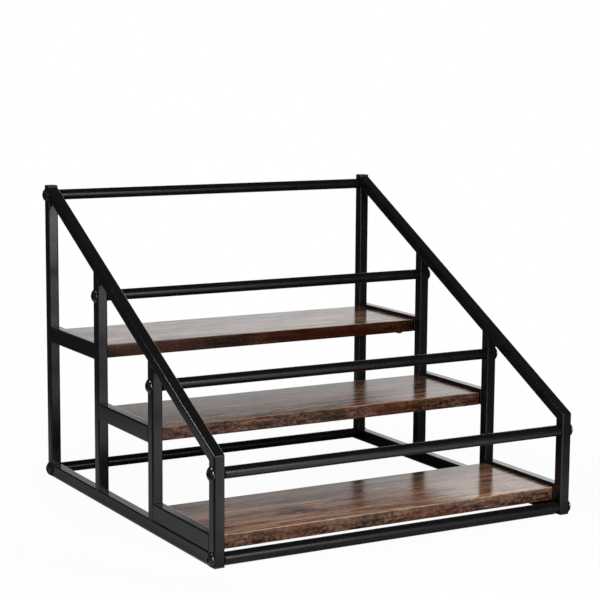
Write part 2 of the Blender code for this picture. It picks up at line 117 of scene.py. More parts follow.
@dataclass
class Shell:
    """One or more closed surfaces, as points and faces."""

    points: np.ndarray
    faces: list[tuple[int, ...]]

    @classmethod
    def from_rings(cls, rings: np.ndarray, start: End = End.FLAT, end: End = End.FLAT) -> "Shell":
        """Surface on a grid: row i of the grid is ring i, and each ring closes on itself.

        Args:
            rings: Corners as an array of rings by corners by 3.
            start: How the first ring is closed.
            end: How the last ring is closed.

        Returns:
            The surface with its ends closed.
        """
        rows, columns, _ = rings.shape
        points = rings.reshape(-1, 3)
        here = np.arange(rows * columns).reshape(rows, columns)
        beside = np.roll(here, -1, axis=1)
        quads = np.stack([here[:-1], beside[:-1], beside[1:], here[1:]], axis=-1).reshape(-1, 4)
        faces = [tuple(quad) for quad in quads.tolist()]
        for ring, kind, flip in ((here[0], start, True), (here[-1], end, False)):
            corners = ring[::-1] if flip else ring
            if kind is End.FLAT:
                faces.append(tuple(corners.tolist()))
            else:
                tip = len(points)
                points = np.vstack([points, points[ring].mean(axis=0)])
                fan = np.stack([corners, np.roll(corners, -1), np.full(columns, tip)], axis=-1)
                faces += [tuple(face) for face in fan.tolist()]
        return cls(points, faces)

    @classmethod
    def from_levels(cls, levels: list[tuple[np.ndarray, float | np.ndarray]]) -> "Shell":
        """Surface through flat outlines that lie above each other.

        Args:
            levels: Each outline, n by 2, with its height or its points' heights.

        Returns:
            The closed surface.
        """
        rings = [np.column_stack([outline, np.broadcast_to(z, len(outline))]) for outline, z in levels]
        return cls.from_rings(np.stack(rings))

    @classmethod
    def from_loop(cls, rings: np.ndarray) -> "Shell":
        """Ring-shaped surface on a grid that closes both ways.

        Args:
            rings: Corners as an array of rings by corners by 3; the last ring meets the first.

        Returns:
            The closed surface.
        """
        rows, columns, _ = rings.shape
        here = np.arange(rows * columns).reshape(rows, columns)
        beside = np.roll(here, -1, axis=1)
        after, across = np.roll(here, -1, axis=0), np.roll(beside, -1, axis=0)
        quads = np.stack([here, beside, across, after], axis=-1).reshape(-1, 4)
        return cls(rings.reshape(-1, 3), [tuple(quad) for quad in quads.tolist()])

    @classmethod
    def joined(cls, shells: list["Shell"]) -> "Shell":
        """All the given surfaces in one, still apart from each other.

        Args:
            shells: The surfaces.

        Returns:
            One surface of them all.
        """
        starts = np.cumsum([0] + [len(shell.points) for shell in shells])
        faces = []
        for start, shell in zip(starts.tolist(), shells):
            faces += [tuple(start + corner for corner in face) for face in shell.faces]
        return cls(np.vstack([shell.points for shell in shells]), faces)

    def placed(self, matrix: Matrix) -> "Shell":
        """The surface moved and turned.

        Args:
            matrix: The way it moves and turns.

        Returns:
            The moved surface.
        """
        turn = np.array(matrix.to_3x3())
        return Shell(self.points @ turn.T + np.array(matrix.translation), self.faces)

    def piece(self, name: str, material: bpy.types.Material, crease: float = 35.0) -> bpy.types.Object:
        """Make the surface an object of the scene, its faces outwards and its sharp edges kept.

        Args:
            name: The piece's name.
            material: The finish it wears.
            crease: Edges turned by more than this many degrees stay sharp.

        Returns:
            The new object, at the origin.
        """
        mesh = bpy.data.meshes.new(name)
        mesh.from_pydata(self.points.tolist(), [], self.faces)
        mesh.update()
        face_outwards(mesh)
        mesh.materials.append(material)
        mesh.shade_smooth()
        mesh.set_sharp_from_angle(angle=math.radians(crease))
        made = bpy.data.objects.new(name, mesh)
        bpy.context.scene.collection.objects.link(made)
        return made


def face_outwards(mesh: bpy.types.Mesh) -> None:
    """Turn every face of a closed mesh outwards.

    Args:
        mesh: The mesh to change in place.
    """
    work = bmesh.new()
    work.from_mesh(mesh)
    bmesh.ops.recalc_face_normals(work, faces=work.faces)
    work.to_mesh(mesh)
    work.free()


def rounded_outline(
    width: float, height: float, radius: float, steps: int = 6, guard: float = 0.0003
) -> np.ndarray:
    """Rectangle about (0, 0) with round corners.

    Each corner's arc is its middle plus radius times the unit circle, over a quarter turn. A
    point stands on the flat before and after each arc, guard away from it, so that smooth
    shading doesn't bend the flats.

    Args:
        width: Size along the first direction.
        height: Size along the second direction.
        radius: Corner radius.
        steps: Steps in each corner's arc.
        guard: Way from an arc's end to the point on the flat.

    Returns:
        Points as an array of 4 * (steps + 3) by 2.
    """
    share = np.concatenate([[0], np.linspace(0, 1, steps + 1), [1]])
    past = np.concatenate([[-guard], np.zeros(steps + 1), [guard]])
    quarter = np.repeat(np.arange(4), steps + 3)
    angle = (quarter + np.tile(share, 4)) * np.pi / 2
    side = np.array([1, -1, -1, 1])[quarter]
    level = np.array([1, 1, -1, -1])[quarter]
    middle = np.stack([side * (width / 2 - radius), level * (height / 2 - radius)], axis=-1)
    outward = np.stack([np.cos(angle), np.sin(angle)], axis=-1)
    onward = np.stack([-np.sin(angle), np.cos(angle)], axis=-1)
    return middle + radius * outward + np.tile(past, 4)[:, None] * onward


def onto_plane(
    starts: np.ndarray, along: np.ndarray, point: np.ndarray, normal: np.ndarray
) -> np.ndarray:
    """Where lines from starts along one direction meet the plane through point.

    Args:
        starts: Points as an array of n by 3.
        along: Direction of every line.
        point: A point of the plane.
        normal: The plane's normal.

    Returns:
        The meeting points, n by 3.
    """
    reach = (point - starts) @ normal / (along @ normal)
    return starts + reach[:, None] * along


def turned(profile: np.ndarray, sides: int) -> np.ndarray:
    """Rings of a solid of revolution about x: each (x, r) gives the circle (x, r cos a, r sin a).

    Args:
        profile: Pairs of x and radius, n by 2.
        sides: Corners in each ring.

    Returns:
        Rings as an array of n by sides by 3.
    """
    angle = np.arange(sides) * 2 * np.pi / sides
    x = np.repeat(profile[:, :1], sides, axis=1)
    return np.stack([x, profile[:, 1:] * np.cos(angle), profile[:, 1:] * np.sin(angle)], axis=-1)


def quarter_round(x: float, r: float, radius: float, first: float, steps: int = 5) -> np.ndarray:
    """Arc of a quarter turn for a turned profile, about (x, r), from the angle first in degrees.

    Args:
        x: Middle of the arc along the axis.
        r: Middle of the arc across the axis.
        radius: Radius of the arc.
        first: Angle where the arc starts; it runs backwards by a quarter turn.
        steps: Steps in the arc.

    Returns:
        Pairs of x and radius.
    """
    angle = np.radians(first - np.linspace(0, 90, steps + 1))
    return np.stack([x + radius * np.cos(angle), r + radius * np.sin(angle)], axis=-1)


class Ramp(NamedTuple):
    """Level that runs straight from first to last while a value goes from start to end."""

    start: float
    end: float
    first: float = 0.0
    last: float = 1.0


@dataclass(frozen=True)
class NoiseLayer:
    """One layer of noise: its waves per metre along x, y and z, and its share where layers add up."""

    waves: tuple[float, float, float]
    share: float = 1.0
    detail: float = 4.0
    roughness: float = 0.5
    distortion: float = 0.0


class NodeTree:
    """Small help for wiring a material's or the world's shader."""

    def __init__(self, tree: bpy.types.NodeTree) -> None:
        """Start with an empty tree."""
        self.tree = tree
        tree.nodes.clear()

    def add(self, kind: str, **settings: object) -> bpy.types.Node:
        """New node.

        Args:
            kind: The node's type, without the leading ShaderNode.
            settings: Its properties.

        Returns:
            The node.
        """
        node = self.tree.nodes.new("ShaderNode" + kind)
        for name, value in settings.items():
            setattr(node, name, value)
        return node

    def feed(self, socket: bpy.types.NodeSocket, value: object) -> None:
        """Wire a source socket to an input, or set the input to a number or colour.

        Args:
            socket: The input.
            value: A number, colour or source socket.
        """
        if isinstance(value, bpy.types.NodeSocket):
            self.tree.links.new(value, socket)
        else:
            socket.default_value = value

    def put(self, node: bpy.types.Node, **values: object) -> bpy.types.Node:
        """Feed a node's inputs by name, with spaces written as underscores.

        Args:
            node: The node.
            values: A number, colour or source socket for each input.

        Returns:
            The same node.
        """
        for name, value in values.items():
            self.feed(node.inputs[name.replace("_", " ")], value)
        return node

    def math(self, operation: str, *values: object, clamp: bool = False) -> bpy.types.NodeSocket:
        """Result of a Math node.

        Args:
            operation: The node's operation.
            values: Numbers or sockets for its inputs.
            clamp: Whether the result is held between 0 and 1.

        Returns:
            The result's socket.
        """
        node = self.add("Math", operation=operation, use_clamp=clamp)
        for socket, value in zip(node.inputs, values):
            self.feed(socket, value)
        return node.outputs[0]

    def product(self, *values: object) -> bpy.types.NodeSocket:
        """Product of numbers or sockets, from left to right."""
        return reduce(partial(self.math, "MULTIPLY"), values)

    def total(self, *values: object) -> bpy.types.NodeSocket:
        """Sum of numbers or sockets, from left to right."""
        return reduce(partial(self.math, "ADD"), values)

    def parts(self, vector: bpy.types.NodeSocket) -> list[bpy.types.NodeSocket]:
        """The x, y and z of a vector."""
        return list(self.put(self.add("SeparateXYZ"), Vector=vector).outputs)

    def mapped(self, value: bpy.types.NodeSocket, ramp: Ramp) -> bpy.types.NodeSocket:
        """Level of a ramp at a value, held at both of its ends.

        Args:
            value: The value's socket.
            ramp: The ramp.

        Returns:
            The level's socket.
        """
        node = self.add("MapRange", clamp=True)
        self.put(node, Value=value, From_Min=ramp.start, From_Max=ramp.end)
        return self.put(node, To_Min=ramp.first, To_Max=ramp.last).outputs[0]

    def noise(
        self, layer: NoiseLayer, shift: tuple[float, float, float] = (0, 0, 0)
    ) -> bpy.types.NodeSocket:
        """Noise between 0 and 1 over the Object coordinates.

        Args:
            layer: The noise's waves and its finer layers.
            shift: Added to the coordinates once they are scaled.

        Returns:
            The noise's socket.
        """
        place = self.add("TexCoord").outputs["Object"]
        place = self.put(self.add("Mapping"), Vector=place, Scale=layer.waves, Location=shift).outputs[0]
        node = self.put(self.add("TexNoise"), Vector=place, Scale=1.0, Detail=layer.detail)
        self.put(node, Roughness=layer.roughness, Distortion=layer.distortion)
        return node.outputs["Fac"]

    def layered(
        self, layers: tuple[NoiseLayer, ...], shift: tuple[float, float, float]
    ) -> bpy.types.NodeSocket:
        """Sum of noise layers, each times its share.

        Args:
            layers: The layers.
            shift: Added to the coordinates of each once they are scaled.

        Returns:
            The sum's socket.
        """
        return self.total(*(self.product(self.noise(layer, shift), layer.share) for layer in layers))

    def colour_run(
        self,
        value: bpy.types.NodeSocket,
        places: tuple[float, ...],
        colours: list[tuple[float, float, float]],
    ) -> bpy.types.NodeSocket:
        """Colour read from a smooth run of colours.

        Args:
            value: Place on the run, between 0 and 1.
            places: The colours' places.
            colours: The colours.

        Returns:
            The colour's socket.
        """
        node = self.add("ValToRGB")
        node.color_ramp.interpolation = "B_SPLINE"
        elements = node.color_ramp.elements
        while len(elements) < len(places):
            elements.new(places[1])
        for element, place, colour in zip(elements, places, colours):
            element.position = place
            element.color = (*colour, 1)
        self.feed(node.inputs[0], value)
        return node.outputs[0]

    def mix(
        self, share: object, first: object, second: object, blend: str = "MIX"
    ) -> bpy.types.NodeSocket:
        """Mix of two colours.

        Args:
            share: Share of the second colour, a number or socket.
            first: First colour, a tuple or socket.
            second: Second colour, a tuple or socket.
            blend: The node's way of blending.

        Returns:
            The colour's socket.
        """
        node = self.add("Mix", data_type="RGBA", blend_type=blend)
        share_socket, first_socket, second_socket = (node.inputs[number] for number in MIX_COLOUR_INPUTS)
        self.feed(share_socket, share)
        for socket, colour in ((first_socket, first), (second_socket, second)):
            self.feed(socket, (*colour, 1) if isinstance(colour, tuple) else colour)
        return node.outputs[MIX_COLOUR_OUTPUT]

    def bump(self, height: bpy.types.NodeSocket, distance: float) -> bpy.types.NodeSocket:
        """Normal of a surface with fine relief.

        Args:
            height: Height between 0 and 1.
            distance: Metres from 0 to 1.

        Returns:
            The normal's socket.
        """
        return self.put(self.add("Bump"), Height=height, Distance=distance, Strength=1.0).outputs[0]


def new_material(name: str) -> tuple[bpy.types.Material, NodeTree, bpy.types.Node]:
    """Material with a Principled shader wired to its output.

    Args:
        name: The material's name.

    Returns:
        The material, its wiring help and the shader node.
    """
    material = bpy.data.materials.new(name)
    material.use_nodes = True
    wiring = NodeTree(material.node_tree)
    shader = wiring.add("BsdfPrincipled")
    wiring.put(wiring.add("OutputMaterial"), Surface=shader.outputs[0])
    return material, wiring, shader


@dataclass(frozen=True)
class BlackCoat:
    """Black coat or plastic: near black, with a fine skin and slightly uneven gloss."""

    name: str
    colour: tuple[float, float, float]
    roughness: float
    roughness_swing: float
    skin_waves: float
    skin_height: float
    specular: float = 0.5
    skin_waves_per_cloud: float = 24.0
    cloud_start: float = 0.3
    cloud_end: float = 0.7
    cloud_lift: float = 1.45

    def build(self) -> bpy.types.Material:
        """Wire the material: skin in the normal, wide clouds in the colour and the roughness.

        Returns:
            The material.
        """
        material, wiring, shader = new_material(self.name)
        skin = wiring.noise(NoiseLayer((self.skin_waves,) * 3, detail=2.0))
        cloud_waves = self.skin_waves / self.skin_waves_per_cloud
        cloud = wiring.noise(NoiseLayer((cloud_waves,) * 3, detail=3.0, roughness=0.55))
        lift = Ramp(self.cloud_start, self.cloud_end)
        gloss = lift._replace(
            first=self.roughness - self.roughness_swing, last=self.roughness + self.roughness_swing
        )
        lighter = tuple(self.cloud_lift * value for value in self.colour)
        wiring.put(
            shader,
            Base_Color=wiring.mix(wiring.mapped(cloud, lift), self.colour, lighter),
            Roughness=wiring.mapped(cloud, gloss),
            Normal=wiring.bump(skin, self.skin_height),
            Specular_IOR_Level=self.specular,
        )
        return material


@dataclass(frozen=True)
class ZincPlate:
    """Bright zinc-plated steel with faint dull stains."""

    name: str = "zinc_plate"
    colour: tuple[float, float, float] = (0.52, 0.53, 0.52)
    stain: NoiseLayer = NoiseLayer((300.0, 300.0, 300.0), detail=3.0)
    stain_share: Ramp = Ramp(0.35, 0.7)
    stain_tone: float = 0.72
    roughness: Ramp = Ramp(0.3, 0.7, 0.26, 0.42)

    def build(self) -> bpy.types.Material:
        """Wire the material.

        Returns:
            The material.
        """
        material, wiring, shader = new_material(self.name)
        stain = wiring.noise(self.stain)
        duller = tuple(self.stain_tone * value for value in self.colour)
        wiring.put(
            shader,
            Base_Color=wiring.mix(wiring.mapped(stain, self.stain_share), self.colour, duller),
            Roughness=wiring.mapped(stain, self.roughness),
            Metallic=1.0,
        )
        return material


@dataclass(frozen=True)
class RusticWood:
    """Dark brown board: long grain along x, short dark hatches, dark patches, flecked edges."""

    tier: str
    shift: tuple[float, float, float]
    # Painted light and shade: the faces' colour is multiplied from the first level at the front to the
    # second at the rear.
    front_tone: float
    rear_tone: float
    edge_tone: tuple[float, float, float]
    # Lighter front arris, partly rubbed wood and partly a painted highlight.
    arris_wear: float
    dark: tuple[float, float, float] = (0.010, 0.003, 0.002)
    middle: tuple[float, float, float] = (0.072, 0.028, 0.015)
    light: tuple[float, float, float] = (0.280, 0.160, 0.104)
    face_places: tuple[float, float, float] = (0.12, 0.48, 0.88)
    edge_dark: tuple[float, float, float] = (0.014, 0.006, 0.004)
    edge_middle: tuple[float, float, float] = (0.104, 0.046, 0.029)
    edge_light: tuple[float, float, float] = (0.325, 0.180, 0.118)
    edge_places: tuple[float, float, float] = (0.12, 0.50, 0.90)
    edge_red: tuple[float, float, float] = (0.150, 0.034, 0.012)
    # Colour of the lighter front arris, partly rubbed wood and partly a painted highlight.
    bare: tuple[float, float, float] = (0.560, 0.380, 0.250)
    broad: NoiseLayer = NoiseLayer((5, 30, 30), 0.22, detail=2.0, distortion=0.8)
    band: NoiseLayer = NoiseLayer((5, 230, 230), 0.34, roughness=0.65, distortion=0.3)
    dash: NoiseLayer = NoiseLayer((22, 520, 520), 0.37, detail=3.0, roughness=0.65)
    hatch: NoiseLayer = NoiseLayer((90, 1300, 1300), 0.24, detail=2.0, roughness=0.6)
    patch: NoiseLayer = NoiseLayer((22, 70, 70), detail=3.0, roughness=0.6)
    patch_depth: Ramp = Ramp(0.54, 0.72, 0.0, 0.10)
    grain_level: Ramp = Ramp(0.465, 0.685)
    edge_fleck: NoiseLayer = NoiseLayer((300, 460, 460), 0.42, detail=3.0, roughness=0.7)
    edge_streak: NoiseLayer = NoiseLayer((40, 380, 380), 0.33, detail=3.0, roughness=0.6)
    edge_cloud: NoiseLayer = NoiseLayer((24, 60, 60), 0.25, detail=2.0)
    edge_level: Ramp = Ramp(0.40, 0.60)
    red_stretch: NoiseLayer = NoiseLayer((9, 20, 20), detail=1.0)
    red_share: Ramp = Ramp(0.48, 0.66, 0.0, 0.65)
    face_to_edge: Ramp = Ramp(0.55, 0.85, 1.0, 0.0)
    # Patches and levels of the lighter front arris, partly rubbed wood and partly a painted highlight.
    wear: NoiseLayer = NoiseLayer((120, 120, 120), detail=2.0)
    wear_start: float = 0.3
    wear_end: float = 0.6
    least_wear_share: float = 0.3
    gloss_cloud: NoiseLayer = NoiseLayer((18, 70, 70), detail=4.0, roughness=0.6)
    gloss_cloud_level: Ramp = Ramp(0.36, 0.64, 0.0, 1.2)
    roughness: Ramp = Ramp(0.0, 1.0, 0.23, 0.09)
    relief: float = 0.00002
    refraction: float = 1.27

    def build(self) -> bpy.types.Material:
        """Wire the material: faces where the normal stands upright, edges elsewhere, a lighter arris.

        The faces carry painted light at the front and painted shade towards the rear. The lighter
        arris, partly rubbed wood and partly a painted highlight, has its place at -2 times the
        normal's y times its z: 1 on the front arris, where the normal leans halfway between front
        and up, and 0 on the flats.

        Returns:
            The material.
        """
        material, wiring, shader = new_material(f"rustic_wood_{self.tier}")
        grain = self.face_grain(wiring)
        face = wiring.colour_run(grain, self.face_places, [self.dark, self.middle, self.light])
        low, high = span(f"{self.tier}_board")
        depth = wiring.parts(wiring.add("TexCoord").outputs["Object"])[1]
        # Painted light and shade: lighter at the front of the faces, darker towards the rear.
        tone = wiring.mapped(depth, Ramp(low[1], high[1], self.front_tone, self.rear_tone))
        face = wiring.mix(1.0, face, tone, blend="MULTIPLY")
        _, normal_y, normal_z = wiring.parts(wiring.add("NewGeometry").outputs["Normal"])
        edge_share = wiring.mapped(wiring.math("ABSOLUTE", normal_z), self.face_to_edge)
        colour = wiring.mix(edge_share, face, self.edge_colour(wiring))
        # Lighter front arris: partly rubbed wood, partly a painted highlight.
        arris = wiring.math("MULTIPLY", wiring.product(normal_y, -2.0), normal_z, clamp=True)
        least_wear_and_highlight = self.least_wear_share * self.arris_wear
        wear = Ramp(self.wear_start, self.wear_end, least_wear_and_highlight, self.arris_wear)
        worn_and_highlit = wiring.product(arris, wiring.mapped(wiring.noise(self.wear, self.shift), wear))
        cloud = wiring.mapped(wiring.noise(self.gloss_cloud, self.shift), self.gloss_cloud_level)
        gloss = wiring.product(wiring.total(cloud, grain), 0.5)
        wiring.put(
            shader,
            Base_Color=wiring.mix(worn_and_highlit, colour, self.bare),
            Roughness=wiring.mapped(gloss, self.roughness),
            Normal=wiring.bump(grain, self.relief),
            IOR=self.refraction,
        )
        return material

    def face_grain(self, wiring: NodeTree) -> bpy.types.NodeSocket:
        """Grain of the wide faces: four layers of noise, less the dark patches.

        Args:
            wiring: The material's wiring help.

        Returns:
            The grain's level, between 0 and 1.
        """
        grain = wiring.layered((self.broad, self.band, self.dash, self.hatch), self.shift)
        patch = wiring.mapped(wiring.noise(self.patch, self.shift), self.patch_depth)
        return wiring.mapped(wiring.math("SUBTRACT", grain, patch), self.grain_level)

    def edge_colour(self, wiring: NodeTree) -> bpy.types.NodeSocket:
        """Colour of the narrow faces: dark and light flecks with reddish stretches.

        Args:
            wiring: The material's wiring help.

        Returns:
            The colour.
        """
        tones = (self.edge_dark, self.edge_middle, self.edge_light, self.edge_red)
        *flecked, red = [tuple(np.multiply(self.edge_tone, tone)) for tone in tones]
        level = wiring.layered((self.edge_fleck, self.edge_streak, self.edge_cloud), self.shift)
        colour = wiring.colour_run(wiring.mapped(level, self.edge_level), self.edge_places, flecked)
        share = wiring.mapped(wiring.noise(self.red_stretch, self.shift), self.red_share)
        return wiring.mix(share, colour, red)


POWDER_COAT = BlackCoat(
    "powder_coat", colour=(0.0036, 0.0036, 0.0038), roughness=0.21, roughness_swing=0.03,
    skin_waves=1500.0, skin_height=0.000012,
)
WELD_COAT = BlackCoat(
    "weld_coat", colour=(0.0060, 0.0060, 0.0062), roughness=0.38, roughness_swing=0.06,
    skin_waves=900.0, skin_height=0.00006,
)
SATIN_BAR_COAT = BlackCoat(
    "satin_bar_coat", colour=(0.0024, 0.0024, 0.0026), roughness=0.28, roughness_swing=0.03,
    skin_waves=1800.0, skin_height=0.000008,
)
BOLT_BLACK = BlackCoat(
    "black_oxide", colour=(0.0060, 0.0060, 0.0062), roughness=0.20, roughness_swing=0.03,
    skin_waves=2400.0, skin_height=0.00002, specular=1.0,
)
BLACK_PLASTIC = BlackCoat(
    "black_plastic", colour=(0.0080, 0.0080, 0.0080), roughness=0.45, roughness_swing=0.05,
    skin_waves=2600.0, skin_height=0.00002,
)
# Each board's faces are painted lighter at the front and darker at the rear (painted light and shade);
# its front arris is lighter, partly rubbed wood and partly a painted highlight.
BOARD_WOODS = (
    RusticWood(
        "upper", shift=(15.93, 6.51, 4.29), front_tone=1.42, rear_tone=0.49,
        edge_tone=(0.22, 0.145, 0.08), arris_wear=0.15,
    ),
    RusticWood(
        "middle", shift=(30.25, 12.75, 7.75), front_tone=1.12, rear_tone=0.26,
        edge_tone=(0.60, 0.56, 0.53), arris_wear=0.5,
    ),
    RusticWood(
        "lower", shift=(18.02, 8.14, 4.06), front_tone=1.84, rear_tone=0.42,
        edge_tone=(0.61, 0.59, 0.58), arris_wear=0.9,
    ),
)


@dataclass
class WeldedTube:
    """Square or oblong tube between two cuts, a rounded outline carried along a straight line."""

    start: np.ndarray
    along: np.ndarray
    height: float
    width: float = 0.010
    corner: float = 0.0013

    @property
    def upward(self) -> np.ndarray:
        """Direction of the section's height."""
        return np.cross(ACROSS, self.along)

    def ring_starts(self, sink: float = 0.0) -> np.ndarray:
        """The section's outline about the axis.

        Args:
            sink: Way that it is drawn in all round.

        Returns:
            Points, n by 3.
        """
        outline = rounded_outline(self.width - 2 * sink, self.height - 2 * sink, self.corner)
        return self.start + outline[:, :1] * ACROSS + outline[:, 1:] * self.upward

    def shell(self, first: tuple[np.ndarray, np.ndarray], last: tuple[np.ndarray, np.ndarray]) -> Shell:
        """Tube between two planes.

        Args:
            first: Point and normal of the plane at the start.
            last: Point and normal of the plane at the end.

        Returns:
            The closed tube.
        """
        starts = self.ring_starts()
        rings = [onto_plane(starts, self.along, *first), onto_plane(starts, self.along, *last)]
        return Shell.from_rings(np.stack(rings))


@dataclass
class WeldBead:
    """Bead round a tube's end: a small circle carried round the tube's outline, with ripples."""

    radius: float = 0.00085
    sink: float = 0.00062
    ripple: float = 0.07
    ripple_pitch: float = 0.0011
    sides: int = 10
    spacing: float = 0.00035

    def shell(self, tube: WeldedTube, point: np.ndarray, normal: np.ndarray) -> Shell:
        """Bead on the plane where a tube meets another.

        The path is the tube's outline, drawn in by sink and cut by the plane. Each of its points
        carries a circle across the path, whose radius swings by ripple with the way gone.

        Args:
            tube: The tube whose end is welded.
            point: A point of the plane of the joint.
            normal: The plane's normal.

        Returns:
            The closed ring.
        """
        outline = onto_plane(tube.ring_starts(self.sink), tube.along, point, normal)
        path = evenly_spaced(outline, self.spacing)
        ahead = np.roll(path, -1, axis=0) - np.roll(path, 1, axis=0)
        ahead /= np.linalg.norm(ahead, axis=1, keepdims=True)
        side = np.cross(ahead, normal)
        side /= np.linalg.norm(side, axis=1, keepdims=True)
        rise = np.cross(side, ahead)
        gone = np.arange(len(path)) * self.spacing
        radius = self.radius * (1 + self.ripple * np.sin(2 * np.pi * gone / self.ripple_pitch))
        angle = np.arange(self.sides) * 2 * np.pi / self.sides
        sideways = np.cos(angle)[None, :, None] * side[:, None]
        upwards = np.sin(angle)[None, :, None] * rise[:, None]
        return Shell.from_loop(path[:, None] + radius[:, None, None] * (sideways + upwards))


def evenly_spaced(path: np.ndarray, spacing: float, least: int = 8) -> np.ndarray:
    """Closed path with points at an even spacing, read from it by length.

    Args:
        path: Corners of the closed path, n by 3.
        spacing: Wanted spacing.
        least: Smallest number of points.

    Returns:
        The new points.
    """
    closed = np.vstack([path, path[:1]])
    length = np.concatenate([[0], np.cumsum(np.linalg.norm(np.diff(closed, axis=0), axis=1))])
    count = max(round(length[-1] / spacing), least)
    wanted = np.arange(count) * length[-1] / count
    return np.stack([np.interp(wanted, length, closed[:, axis]) for axis in range(3)], axis=-1)


@dataclass
class SideFrame:
    """Nine welded tubes in one plane, with the tabs that carry the boards and the weld beads."""

    side: Side
    coat: bpy.types.Material
    weld_coat: bpy.types.Material
    tube: float = 0.010
    front_height: float = 0.0933
    corner_round: float = 0.0018
    shelf_rail_height: float = 0.015
    tab_reach: float = 0.012
    tab_length: float = 0.014
    tab_thickness: float = 0.0015
    tab_overlap: float = 0.002
    tab_corner: float = 0.002
    tab_ease: float = 0.00025
    tab_drop: float = 0.0003
    joints: list[Shell] = field(default_factory=list)
    bead: WeldBead = field(default_factory=WeldBead)

    def __post_init__(self) -> None:
        """Read the frame's places from the model."""
        self.post_low, self.post_high = span(f"{self.side.word}_rear_post")
        self.front_low, _ = span(f"{self.side.word}_front_post")
        _, self.slope_high = span(f"{self.side.word}_sloped_rail")
        self.x = (self.post_low[0] + self.post_high[0]) / 2
        self.front_y = self.front_low[1]
        self.rear_face = self.post_low[1]
        rise = self.slope_high[2] - self.front_height
        self.slope = math.atan2(rise, self.slope_high[1] - self.front_y)
        self.uphill = np.array([0, math.cos(self.slope), math.sin(self.slope)])
        self.off_slope = np.array([0, -math.sin(self.slope), math.cos(self.slope)])
        self.top_corner = np.array([self.x, self.front_y, self.front_height])

    def build(self) -> list[bpy.types.Object]:
        """Build every piece of the frame.

        Returns:
            The frame's pieces.
        """
        made = [self.rear_post(), self.bottom_rail()]
        made += self.corner_pieces()
        made += [self.upright(tier) for tier in ("upper", "middle")]
        made += [self.shelf_rail(tier) for tier in ("upper", "middle", "lower")]
        made.append(self.welds())
        return made

    def finish_piece(self, shell: Shell, node: str) -> bpy.types.Object:
        """Dress a tube and let it stand for its node of the model.

        Args:
            shell: The tube's surface.
            node: The node's name without its side.

        Returns:
            The piece.
        """
        name = f"{self.side.word}_{node}"
        return hand_over(shell.piece(f"{name}_tube", self.coat), name)

    def level(self, z: float) -> tuple[np.ndarray, np.ndarray]:
        """Level plane at height z."""
        return np.array([self.x, 0, z]), UP

    def square(self, y: float) -> tuple[np.ndarray, np.ndarray]:
        """Upright plane across the frame at y."""
        return np.array([self.x, y, 0]), BACK

    def rear_post(self) -> bpy.types.Object:
        """The tall post at the back.

        Returns:
            The piece.
        """
        axis = np.array([self.x, self.rear_face + self.tube / 2, 0])
        tube = WeldedTube(axis, UP, self.tube)
        shell = tube.shell(self.level(self.post_low[2]), self.level(self.post_high[2]))
        return self.finish_piece(shell, "rear_post")

    def bottom_rail(self) -> bpy.types.Object:
        """Rail along the bottom with the two tabs of the lowest board.

        Returns:
            The piece.
        """
        _, high = span(f"{self.side.word}_bottom_rail")
        axis = np.array([self.x, 0, high[2] - self.tube / 2])
        tube = WeldedTube(axis, BACK, self.tube)
        ends = self.square(self.front_y + self.tube), self.square(self.rear_face)
        for plane in ends:
            self.joints.append(self.bead.shell(tube, *plane))
        shell = Shell.joined([tube.shell(*ends)] + self.tabs("lower", high[2] - self.tab_drop))
        return self.finish_piece(shell, "bottom_rail")

    def upright(self, tier: str) -> bpy.types.Object:
        """Upright between the bottom rail and the sloped rail.

        Args:
            tier: The tier in front of which it stands.

        Returns:
            The piece.
        """
        low, high = span(f"{self.side.word}_{tier}_upright")
        _, rail_high = span(f"{self.side.word}_bottom_rail")
        axis = np.array([self.x, (low[1] + high[1]) / 2, 0])
        tube = WeldedTube(axis, UP, self.tube)
        foot = self.level(rail_high[2])
        head = self.top_corner - self.tube * self.off_slope, self.off_slope
        self.joints.append(self.bead.shell(tube, *foot))
        self.joints.append(self.bead.shell(tube, *head))
        return self.finish_piece(tube.shell(foot, head), f"{tier}_upright")

    def shelf_rail(self, tier: str) -> bpy.types.Object:
        """Taller rail beside a board, with the tabs under the board.

        Args:
            tier: The board's tier.

        Returns:
            The piece.
        """
        _, high = span(f"{self.side.word}_{tier}_shelf_rail")
        start, end = self.tier_ends(tier)
        axis = np.array([self.x, 0, high[2] - self.shelf_rail_height / 2])
        tube = WeldedTube(axis, BACK, self.shelf_rail_height)
        ends = self.square(start), self.square(end)
        for plane in ends:
            self.joints.append(self.bead.shell(tube, *plane))
        shells = [tube.shell(*ends)]
        if tier != "lower":
            shells += self.tabs(tier, high[2] - self.shelf_rail_height)
        return self.finish_piece(Shell.joined(shells), f"{tier}_shelf_rail")

    def tier_ends(self, tier: str) -> tuple[float, float]:
        """Where a tier starts and ends along y, between the faces of its uprights.

        Args:
            tier: The tier.

        Returns:
            The y of its front and of its rear end.
        """
        middle_low, middle_high = span(f"{self.side.word}_middle_upright")
        upper_low, upper_high = span(f"{self.side.word}_upper_upright")
        ends = {
            "lower": (self.front_y + self.tube, middle_low[1]),
            "middle": (middle_high[1], upper_low[1]),
            "upper": (upper_high[1], self.rear_face),
        }
        return ends[tier]

    def tabs(self, tier: str, top: float) -> list[Shell]:
        """Two flat tabs under a board, each a rounded plate with a rounded edge.

        Args:
            tier: The board's tier.
            top: Height of the tabs' top faces.

        Returns:
            The two plates.
        """
        inward = -self.side.value
        reach = self.tab_reach + self.tab_overlap
        middle_x = self.x + inward * (self.tube / 2 + self.tab_reach - reach / 2)
        ease = self.tab_ease
        bottom = top - self.tab_thickness
        full = rounded_outline(reach, self.tab_length, self.tab_corner)
        eased = rounded_outline(reach - 2 * ease, self.tab_length - 2 * ease, self.tab_corner - ease)
        levels = [(eased, bottom), (full, bottom + ease), (full, top - ease), (eased, top)]
        made = []
        for place in ("front", "rear"):
            low, high = span(f"{tier}_board_{self.side.word}_{place}_screw")
            middle = np.array([middle_x, (low[1] + high[1]) / 2])
            made.append(Shell.from_levels([(outline + middle, z) for outline, z in levels]))
        return made

